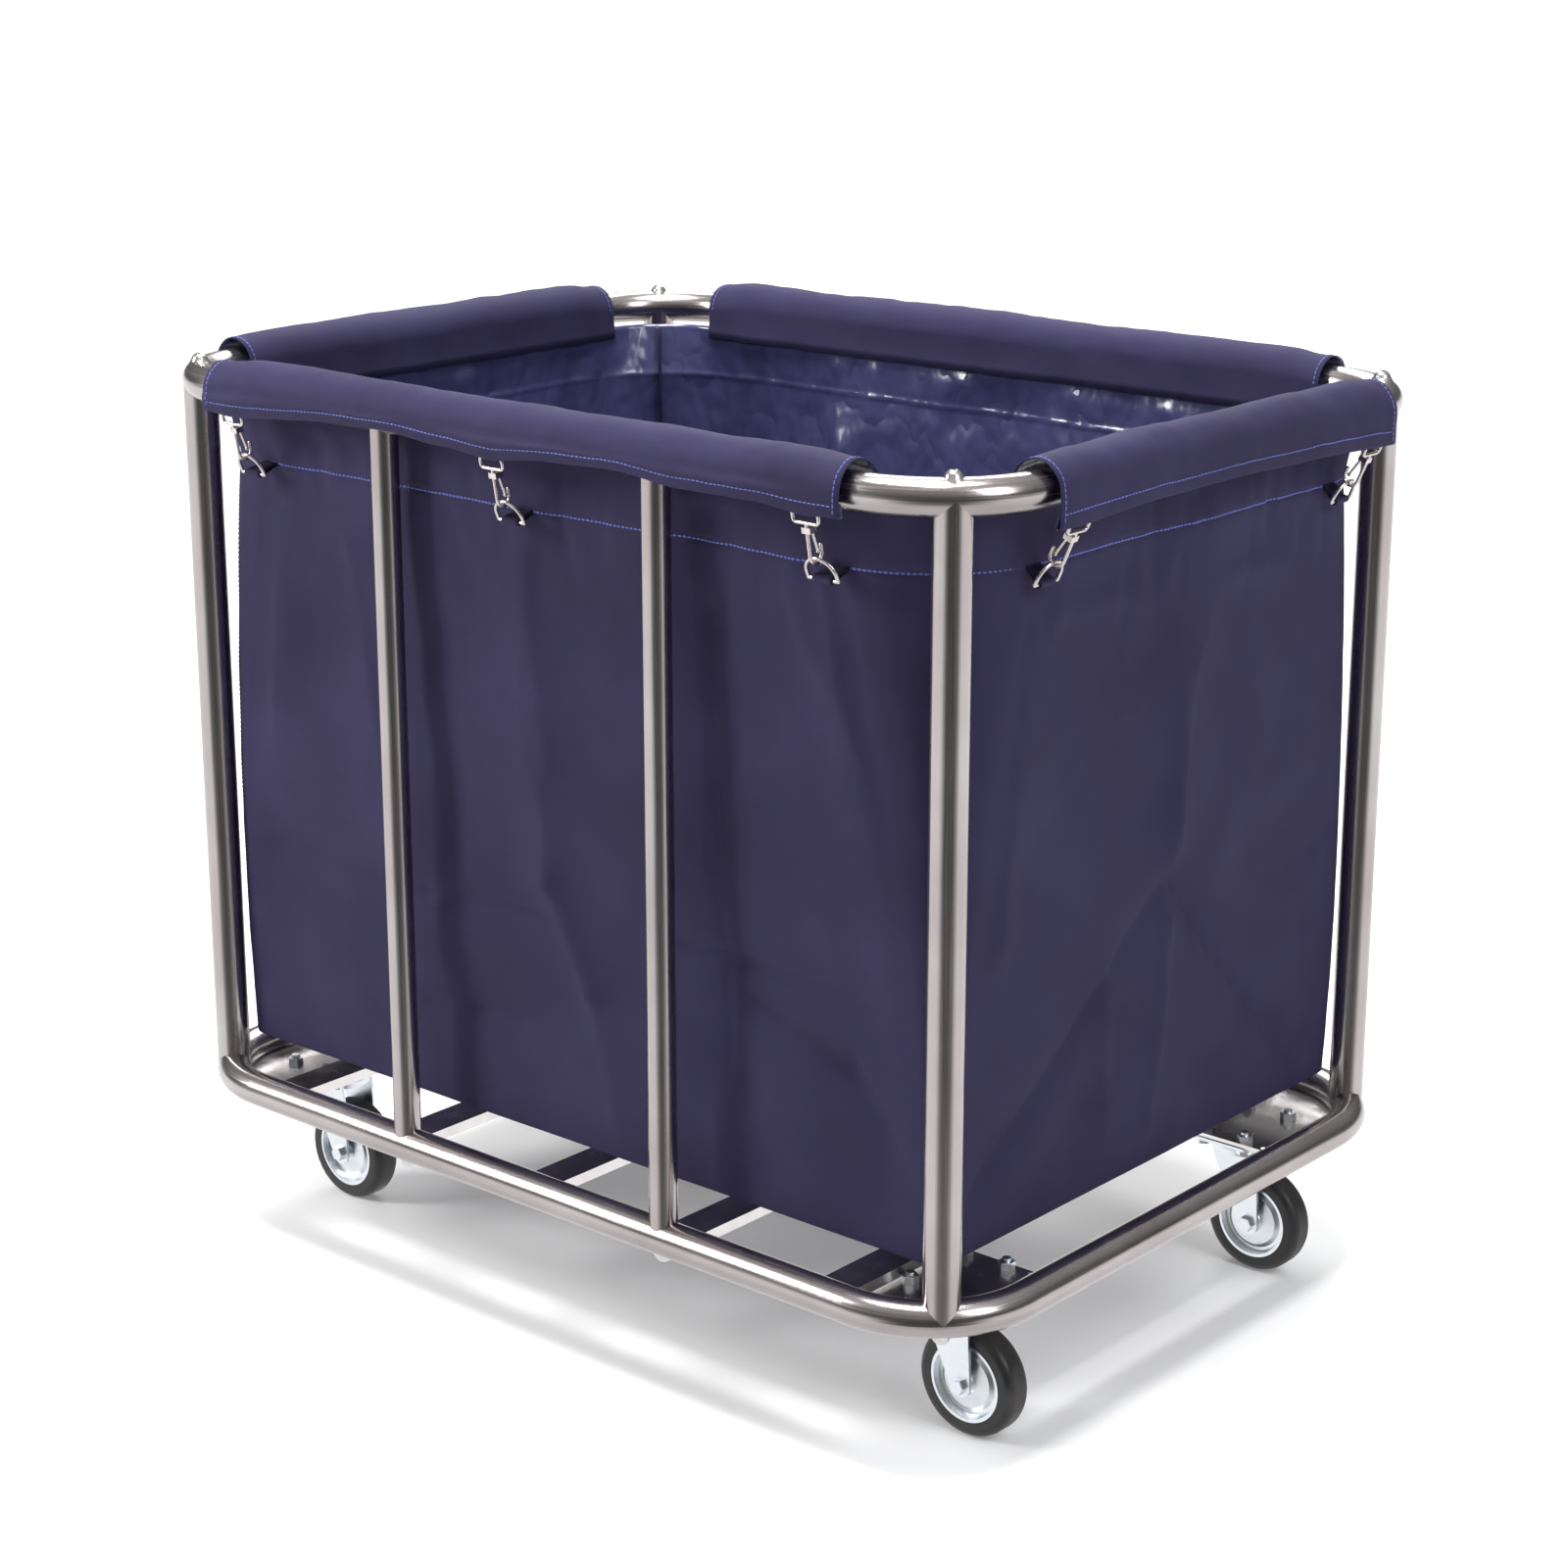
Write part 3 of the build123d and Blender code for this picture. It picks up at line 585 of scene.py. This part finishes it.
def build_bag():
    """Walls and floor in one shell: canvas outside, coating inside."""
    ring = columns()
    points, uvs = [], []
    lengths = [0.0]
    seam = [wall_point(column, SEAM_Z) for column in ring]
    for index in range(1, len(ring)):
        lengths.append(lengths[-1] + (seam[index] - seam[index - 1]).length)
    ridge = HALF_L - HALF_W
    floor_rings = 34
    for step in range(floor_rings, 0, -1):
        share = step / floor_rings
        for column, length in zip(ring, lengths):
            edge = wall_point(column, EDGE_Z)
            middle = Vector((min(max(edge.x, -ridge), ridge), 0, EDGE_Z))
            point = edge.lerp(middle, share)
            sag = FLOOR_SAG * (1 - (1 - share) ** 2)
            wrinkle = 0.0035 * ease(share, 0.0, 0.25) * crumple(point, 0.07, 9.3)
            point.z = max(EDGE_Z - sag + wrinkle, EDGE_Z - FLOOR_SAG)
            points.append(point)
            uvs.append((point.x, point.y))
    for z in wall_levels():
        groove = seam_groove(z)
        for column, length in zip(ring, lengths):
            outward = SIDES[column[0]][1]
            points.append(wall_point(column, z) + outward * groove)
            uvs.append((length, z))
    count = len(ring)
    rows = len(points) // count
    faces = []
    for row in range(rows - 1):
        for index in range(count):
            after = (index + 1) % count
            low, high = row * count, (row + 1) * count
            faces.append((low + index, low + after, high + after, high + index))
    bag = mesh_object("bag", points, faces, [CANVAS, LINING], uvs)
    shell = bmesh.new()
    shell.from_mesh(bag.data)
    bmesh.ops.remove_doubles(shell, verts=shell.verts, dist=0.0001)
    bmesh.ops.dissolve_degenerate(shell, edges=shell.edges, dist=0.00001)
    shell.to_mesh(bag.data)
    shell.free()
    thicken(bag, CLOTH, inner=1)
    settle(bag)
    return cloth_piece(bag, "bag_front", "bag_right", "bag_back", "bag_left", "bag_floor")


# ---------------------------------------------------------------- ring tabs


# Where the rings' straight bars are: (outward from the rail's centreline, height).
BAR_LONG = (-0.0009, 0.7553)
BAR_SHORT = (-0.0101, 0.7499)
RING_BAR = {"front": BAR_LONG, "right": BAR_SHORT, "back": BAR_LONG, "left": BAR_SHORT}
TAB_HALF = 0.0095
TAB_R = 0.0033
TAB_CLOTH = 0.001


def tab_section(side, s):
    """A tab's section: out of the seam, round the ring's bar and back into the seam."""
    bar_n, bar_z = RING_BAR[side]
    inset, radius = wall_plan(SEAM_Z)
    reach = SIDES[side][3] - inset - radius
    root = -inset + wall_stand(side, s, SEAM_Z, reach) - CLOTH / 2
    section = [(root, SEAM_Z + 0.001)]
    for step in range(13):
        angle = radians(105 - 210 * step / 12)
        section.append((bar_n + TAB_R * cos(angle), bar_z + TAB_R * sin(angle)))
    section.append((root, SEAM_Z - 0.0014))
    return section


def build_tabs():
    """The cloth tabs that hold the rings."""
    points, faces, uvs = [], [], []
    columns_each = 7
    for side in SIDES:
        for hook in HOOKS[side]:
            first = len(points)
            for column in range(columns_each):
                s = hook + mix(-TAB_HALF, TAB_HALF, column / (columns_each - 1))
                section = tab_section(side, s)
                for step, (n, z) in enumerate(section):
                    points.append(side_point(side, s, n, z))
                    uvs.append((s, step * 0.002))
            rows = len(section)
            for column in range(columns_each - 1):
                for row in range(rows - 1):
                    low = first + column * rows + row
                    faces.append((low, low + 1, low + rows + 1, low + rows))
    tabs = mesh_object("bag_tabs", points, faces, [CANVAS], uvs)
    thicken(tabs, TAB_CLOTH)
    return cloth_piece(settle(tabs), "ring_tabs")


# ---------------------------------------------------------------- flaps


# How far the hem lifts along a flap, as (share of its half length, lift).
LONG_LIFTS = [
    (-1.0, 0.001), (-0.9, 0.0), (-0.5, 0.009), (-0.34, 0.0095), (-0.2, 0.005), (-0.02, 0.001),
    (0.2, 0.007), (0.36, 0.009), (0.55, 0.003), (0.75, 0.003), (0.9, 0.0), (1.0, 0.0),
]
SHORT_LIFTS = [
    (-1.0, -0.001), (-0.88, 0.0), (-0.4, 0.004), (0.0, 0.005), (0.45, 0.003), (0.88, 0.0), (1.0, -0.002),
]
LIFTS = {"front": LONG_LIFTS, "right": SHORT_LIFTS, "back": LONG_LIFTS, "left": SHORT_LIFTS}


def hem_lift(side, s):
    share = s / FLAP_HALF[side]
    stops = LIFTS[side]
    for (before, low), (after, high) in zip(stops, stops[1:]):
        if share <= after:
            return mix(low, high, ease(share, before, after))
    return stops[-1][1]


def flap_section(side, s):
    """The flap's section at one place: (n, z) from its foot inside the rail to its turned hem."""
    hem = HEM_Z[side] + hem_lift(side, s)
    near_hook = max(exp(-(((s - hook) / 0.02) ** 2)) for hook in HOOKS[side])
    point = side_point(side, s, 0, RAIL_Z)
    slack = 0.0022 + 0.0022 * crumple(point, 0.12, 4.4) + 0.001 * crumple(point, 0.04, 7.1)
    radius = FLAP_R + slack
    end = ease(abs(s), FLAP_HALF[side] - 0.05, FLAP_HALF[side])
    crest = RAIL_Z + 0.0035 * (1 - end) + 0.001 * crumple(point, 0.07, 1.9)
    pocket = mix(0.0023, 0.0034, near_hook)
    section = [(FOOT_N, FOOT_Z), (FOOT_N + 0.0006, FOOT_Z + 0.008), (-0.0252, FOOT_Z + 0.018)]
    for step in range(0, 21):
        angle = pi - pi * step / 20
        section.append((radius * cos(angle) * 0.97, crest + radius * sin(angle)))
    outer_n = HEM_N + pocket + 0.0006
    start_n, start_z = section[-1]
    skirt_end = hem + 0.004
    for step in range(1, 8):
        share = step / 8
        belly = 0.0022 * sin(pi * share) * (0.4 + crumple(point, 0.09, 6.0))
        section.append((mix(start_n, outer_n, share) + belly, mix(start_z, skirt_end, share)))
    for step in range(0, 9):
        angle = -pi * step / 8
        section.append((HEM_N + (pocket + 0.0006) * cos(angle), hem + pocket * sin(angle)))
    section.append((HEM_N - pocket * 0.8, hem + HEM_RISE * 0.5))
    section.append((HEM_N + 0.0008 - pocket * 0.2, hem + HEM_RISE))
    return section


def build_flap(side):
    half = FLAP_HALF[side] - 0.0005
    count = round(2 * half / 0.005)
    points, uvs = [], []
    for index in range(count + 1):
        s = mix(-half, half, index / count)
        around = 0.0
        section = flap_section(side, s)
        for step, (n, z) in enumerate(section):
            if step:
                before = section[step - 1]
                around += hypot(n - before[0], z - before[1])
            drift = 0.0016 * crumple(Vector((n, z, 3.0 + half)), 0.03, 1.4)
            edge = ease(abs(s), half - 0.01, half)
            point = side_point(side, s + drift * edge, n, z)
            rumple = 0.0007 * crumple(point, 0.018, 5.9)
            points.append(point + SIDES[side][1] * rumple + Z * rumple)
            uvs.append((s, around))
    rows = len(section)
    faces = []
    for index in range(count):
        for step in range(rows - 1):
            low, high = index * rows + step, (index + 1) * rows + step
            faces.append((low, low + 1, high + 1, high))
    flap = mesh_object(f"flap_{side}_cloth", points, faces, [CANVAS, LINING], uvs)
    return flap, points, rows


def finish_flap(side, flap):
    face_outward(flap, side)
    thicken(flap, FLAP_CLOTH, inner=1)
    settle(flap)
    return cloth_piece(flap, f"flap_{side}")


def face_outward(flap, side):
    """Turns the flap's faces so that its canvas looks away from the rail."""
    middle = side_point(side, 0, 0, RAIL_Z)
    shape = bmesh.new()
    shape.from_mesh(flap.data)
    shape.normal_update()
    top = max(shape.faces, key=lambda face: face.calc_center_median().z)
    if top.normal.dot(top.calc_center_median() - middle) < 0:
        bmesh.ops.reverse_faces(shape, faces=shape.faces)
    shape.to_mesh(flap.data)
    shape.free()


# ---------------------------------------------------------------- stitching and bindings


def stitches(name, paths, pitch=0.0046, length=0.0042, width=0.0011, height=0.0007):
    """Rows of stitches. Each path is a list of (point, outward normal) close together."""
    points, faces = [], []
    for path in paths:
        travelled = [0.0]
        for (before, _), (after, _) in zip(path, path[1:]):
            travelled.append(travelled[-1] + (after - before).length)
        place = pitch / 2
        segment = 0
        while place < travelled[-1] - pitch / 2:
            while travelled[segment + 1] < place:
                segment += 1
            span = travelled[segment + 1] - travelled[segment]
            share = (place - travelled[segment]) / span
            (start, normal), (end, _) = path[segment], path[segment + 1]
            forward = (end - start).normalized()
            aside = forward.cross(normal).normalized()
            middle = start.lerp(end, share)
            add_stitch(points, faces, middle, forward * length / 2, aside * width / 2, normal * height)
            place += pitch
    return mesh_object(name, points, faces, [THREAD])


def add_stitch(points, faces, middle, forward, aside, up):
    """One stitch: a short bead that dips into the cloth at both ends."""
    first = len(points)
    for share, swell in ((-1.0, 0.2), (-0.6, 0.9), (0.0, 1.0), (0.6, 0.9), (1.0, 0.2)):
        centre = middle + forward * share - up * (0.6 * (1 - swell))
        for turn in range(6):
            angle = turn * pi / 3
            points.append(centre + aside * (cos(angle) * swell) + up * (sin(angle) * swell))
    for step in range(4):
        for turn in range(6):
            after = (turn + 1) % 6
            low, high = first + step * 6, first + (step + 1) * 6
            faces.append((low + turn, low + after, high + after, high + turn))
    faces.append(tuple(first + turn for turn in reversed(range(6))))
    faces.append(tuple(first + 24 + turn for turn in range(6)))


def seam_path(z, raise_by):
    """The way round the bag at one height, with the outward normals."""
    ring = columns()
    outline = [wall_point(column, z) for column in ring]
    outline.append(outline[0])
    path = []
    for index, point in enumerate(outline):
        after = outline[(index + 1) % len(ring)]
        before = outline[index - 1] if index else outline[-2]
        normal = (after - before).cross(Z).normalized()
        path.append((point + normal * raise_by, normal))
    return path


def corner_path(side, share, raise_by):
    """Up a corner of the bag from its lower edge to its seam."""
    path = []
    count = 90
    for step in range(count + 1):
        z = mix(EDGE_Z + 0.003, SEAM_Z - 0.004, step / count)
        point = wall_point((side, "corner", share), z)
        ahead = wall_point((side, "corner", min(share + 0.1, 0.99)), z)
        behind = wall_point((side, "corner", max(share - 0.1, 0.0)), z)
        normal = (ahead - behind).cross(Z).normalized()
        path.append((point + normal * raise_by, normal))
    return path


def flap_path(points, rows, step, raise_by):
    """Along a flap at one step of its section."""
    path = []
    lines = len(points) // rows
    for index in range(1, lines - 1):
        here = points[index * rows + step]
        along = points[(index + 1) * rows + step] - points[(index - 1) * rows + step]
        across = points[index * rows + step + 1] - points[index * rows + step - 1]
        normal = across.cross(along).normalized()
        path.append((here + normal * raise_by, normal))
    return path


def flap_end_path(points, rows, line, raise_by):
    """Across a flap near one of its ends, from inside the rail to the hem."""
    path = []
    for step in range(3, 32):
        here = points[line * rows + step]
        across = points[line * rows + step + 1] - points[line * rows + step - 1]
        along = points[(line + 1) * rows + step] - points[(line - 1) * rows + step]
        normal = across.cross(along).normalized()
        path.append((here + normal * raise_by, normal))
    return path


def build_bindings():
    """The dark tape that binds the seam inside each corner of the bag."""
    points, faces = [], []
    for side in SIDES:
        first = len(points)
        count = 60
        for step in range(count + 1):
            z = mix(EDGE_Z + 0.004, TOP_Z - 0.004, step / count)
            corner = wall_point((side, "corner", 0.5), z)
            along, outward, _, _ = SIDES[side]
            inward = -(along + outward).normalized()
            aside = inward.cross(Z)
            lean = 0.35 * crumple(Vector((z, 0, 0)), 0.12, 3.3 + SIDES[side][2])
            fin = (inward + aside * lean).normalized()
            flat = fin.cross(Z).normalized()
            root = corner + inward * (CLOTH + 0.0002)
            for out, half in ((0.0, 0.0012), (0.006, 0.0013), (0.010, 0.0009)):
                points.append(root + fin * out + flat * half)
            for out, half in ((0.010, 0.0009), (0.006, 0.0013), (0.0, 0.0012)):
                points.append(root + fin * out - flat * half)
        for step in range(count):
            for turn in range(6):
                after = (turn + 1) % 6
                low, high = first + step * 6, first + (step + 1) * 6
                faces.append((low + turn, low + after, high + after, high + turn))
        faces.append(tuple(first + turn for turn in reversed(range(6))))
        faces.append(tuple(first + count * 6 + turn for turn in range(6)))
    uvs = [(point.x + point.y, point.z) for point in points]
    return cloth_piece(mesh_object("corner_bindings", points, faces, [BINDING], uvs))


# ---------------------------------------------------------------- stage, lights, camera


def build_floor():
    """A wide plain floor. Polished parts don't see it: they see studio_world below the horizon."""
    size = 80.0
    steps = 16
    points, faces = [], []
    for i in range(steps + 1):
        for j in range(steps + 1):
            points.append(((i / steps - 0.5) * 2 * size, (j / steps - 0.5) * 2 * size, 0.0))
    for i in range(steps):
        for j in range(steps):
            low = i * (steps + 1) + j
            faces.append((low, low + steps + 1, low + steps + 2, low + 1))
    floor = mesh_object("studio_floor", points, faces, [FLOOR])
    floor.visible_glossy = False


def direction_from(azimuth, elevation):
    """The direction from the cart to a place round it: azimuth 0 is in front, at -Y."""
    a, e = radians(azimuth), radians(elevation)
    return Vector((sin(a) * cos(e), -cos(a) * cos(e), sin(e)))


# Lamps: name, azimuth, elevation, distance, size, power, tint.
WHITE = (1.0, 1.0, 1.0)
COOL = (0.95, 0.97, 1.0)
LAMP_SPREAD = 95.0
LAMPS = [
    ("key_light", -42.0, 26.0, 3.4, (0.8, 1.5), 25.0, WHITE),
    ("side_light", 84.0, 34.0, 3.4, (1.0, 1.6), 13.0, COOL),
    ("top_light", 0.0, 84.0, 3.2, (2.0, 1.4), 62.0, WHITE),
    ("back_light", 215.0, 42.0, 3.8, (2.2, 1.4), 26.0, WHITE),
]
LAMP_AIM = Vector((0, 0, 0.45))

# How bright the surround is, from dim to bright, for each part of studio_world.
GAP, LIT_WALL, LIT_FLOOR = 0.1, 1.25, 0.95
SKY_LOW, SKY_HIGH = 0.1, 0.5


def soft_light(name, azimuth, elevation, distance, size, power, tint):
    """One rectangular lamp, turned towards the cart."""
    lamp = bpy.data.lights.new(name, "AREA")
    lamp.shape = "RECTANGLE"
    lamp.size, lamp.size_y = size
    lamp.energy = power
    lamp.color = tint
    lamp.spread = radians(LAMP_SPREAD)
    holder = bpy.data.objects.new(name, lamp)
    back = direction_from(azimuth, elevation)
    holder.location = LAMP_AIM + back * distance
    holder.rotation_mode = "QUATERNION"
    holder.rotation_quaternion = (-back).to_track_quat("-Z", "Y")
    bpy.context.scene.collection.objects.link(holder)


def build_lights():
    for lamp in LAMPS:
        soft_light(*lamp)
    bpy.context.scene.world = studio_world()


def studio_world():
    """A soft sky over the cart. Below the horizon only polished parts see it: bright all round,
    but for a dim gap that faces the photograph's camera and doesn't turn with other views."""
    world = bpy.data.worlds.new("studio")
    world.use_nodes = True
    tree = world.node_tree

    def ranged(value, start, end, low, high):
        node = tree.nodes.new("ShaderNodeMapRange")
        node.interpolation_type = "SMOOTHSTEP"
        limits = {"From Min": start, "From Max": end, "To Min": low, "To Max": high}
        for socket, number in limits.items():
            node.inputs[socket].default_value = number
        tree.links.new(value, node.inputs["Value"])
        return node.outputs["Result"]

    place = tree.nodes.new("ShaderNodeTexCoord")
    parts = tree.nodes.new("ShaderNodeSeparateXYZ")
    tree.links.new(place.outputs["Generated"], parts.inputs[0])
    facing = tree.nodes.new("ShaderNodeVectorMath")
    facing.operation = "DOT_PRODUCT"
    facing.inputs[1].default_value = direction_from(VIEW_AZIMUTH, 0.0)
    tree.links.new(place.outputs["Generated"], facing.inputs[0])
    walls = ranged(facing.outputs["Value"], 0.55, 0.93, LIT_WALL, GAP)
    downward = ranged(parts.outputs["Z"], -0.75, -0.36, 1.0, 0.0)
    lower = tree.nodes.new("ShaderNodeMix")
    tree.links.new(downward, lower.inputs["Factor"])
    tree.links.new(walls, lower.inputs["A"])
    lower.inputs["B"].default_value = LIT_FLOOR
    sky = ranged(parts.outputs["Z"], 0.0, 1.0, SKY_LOW, SKY_HIGH)
    chosen = tree.nodes.new("ShaderNodeMix")
    tree.links.new(ranged(parts.outputs["Z"], -0.1, 0.03, 0.0, 1.0), chosen.inputs["Factor"])
    tree.links.new(lower.outputs["Result"], chosen.inputs["A"])
    tree.links.new(sky, chosen.inputs["B"])
    tree.links.new(chosen.outputs["Result"], tree.nodes["Background"].inputs["Color"])
    return world


def build_camera():
    lens = bpy.data.cameras.new("camera")
    lens.lens = LENS
    lens.sensor_width = 36.0
    lens.clip_end = 200.0
    camera = bpy.data.objects.new("camera", lens)
    back = direction_from(VIEW_AZIMUTH, VIEW_ELEVATION)
    camera.location = VIEW_TARGET + back * VIEW_DISTANCE
    camera.rotation_mode = "QUATERNION"
    camera.rotation_quaternion = (-back).to_track_quat("-Z", "Y")
    bpy.context.scene.collection.objects.link(camera)
    bpy.context.scene.camera = camera


# ---------------------------------------------------------------- the cart


build_camera()
build_floor()
build_lights()
bpy.context.scene.view_settings.view_transform = "Standard"
finish_nodes()

bag = build_bag()
seam_threads = cloth_piece(
    stitches("seam_stitches", [seam_path(SEAM_Z, -0.0008)], width=0.0021)
)
corner_threads = cloth_piece(
    stitches(
        "corner_stitches",
        [corner_path(side, 0.5, 0.0) for side in SIDES],
        width=0.0009,
    )
)
bindings = build_bindings()
tabs = build_tabs()

HEM_STITCH_STEP = 29  # the step of the flap's section that the hem is sewn along
hem_rows = []
for side in SIDES:
    flap, points, rows = build_flap(side)
    hem_rows.append(flap_path(points, rows, HEM_STITCH_STEP, 0.0))
    last = len(points) // rows - 1
    hem_rows.append(flap_end_path(points, rows, 1, 0.0))
    hem_rows.append(flap_end_path(points, rows, last - 1, 0.0))
    finish_flap(side, flap)
hem_threads = cloth_piece(stitches("hem_stitches", hem_rows, width=0.0012))
